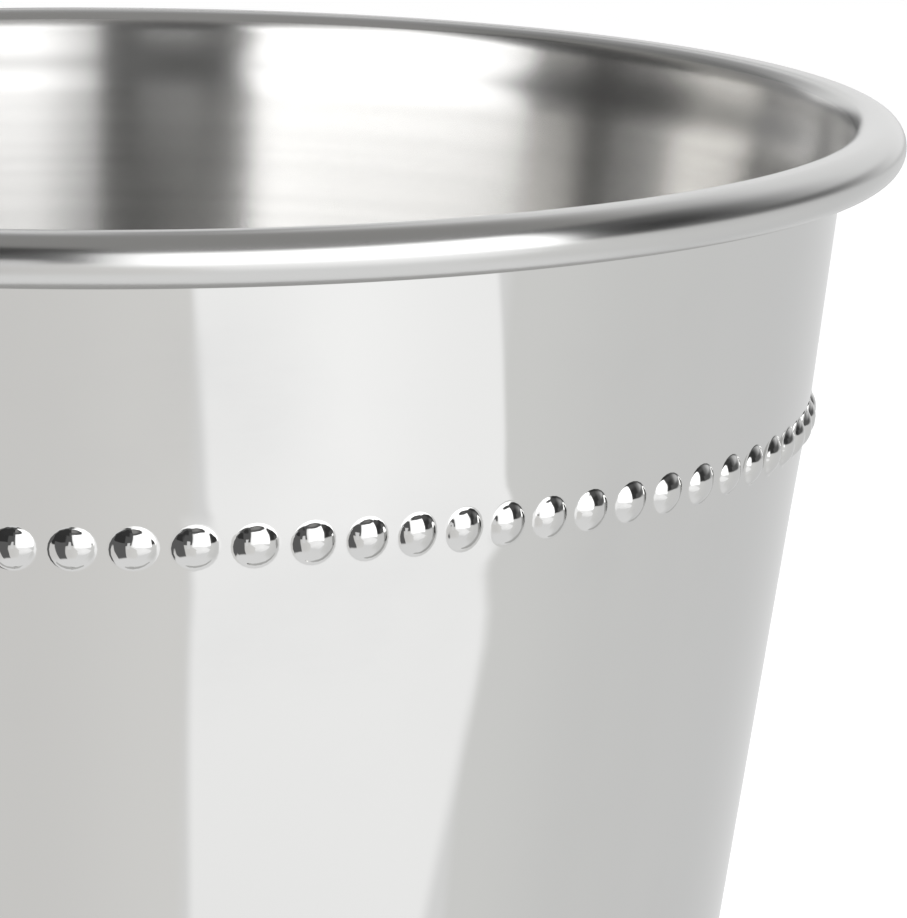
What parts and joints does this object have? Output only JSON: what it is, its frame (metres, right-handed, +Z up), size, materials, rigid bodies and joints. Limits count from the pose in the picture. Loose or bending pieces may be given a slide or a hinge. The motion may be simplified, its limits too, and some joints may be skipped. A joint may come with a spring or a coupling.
{
  "type": "julep cup",
  "caption": "Tapered round julep cup of polished sheet steel, with a rolled wired rim, a row of small pressed beads below it, a brushed inside and a moulded ring foot.",
  "frame": {"origin": "centre of the face the foot ring stands on", "axes": "+Z up along the cup's axis; -Y faces the picture's camera"},
  "size_m": [0.089, 0.089, 0.11],
  "materials": {
    "polished_steel": "polished",
    "brushed_steel": "satin",
    "wire_steel": "satin",
    "solder": "satin"
  },
  "bodies": {
    "root": {"cup_wall": "polished_steel", "rim_wire": "wire_steel", "base_pan": "brushed_steel", "floor_solder": "solder", "foot_ring": "polished_steel"}
  },
  "joints": []
}
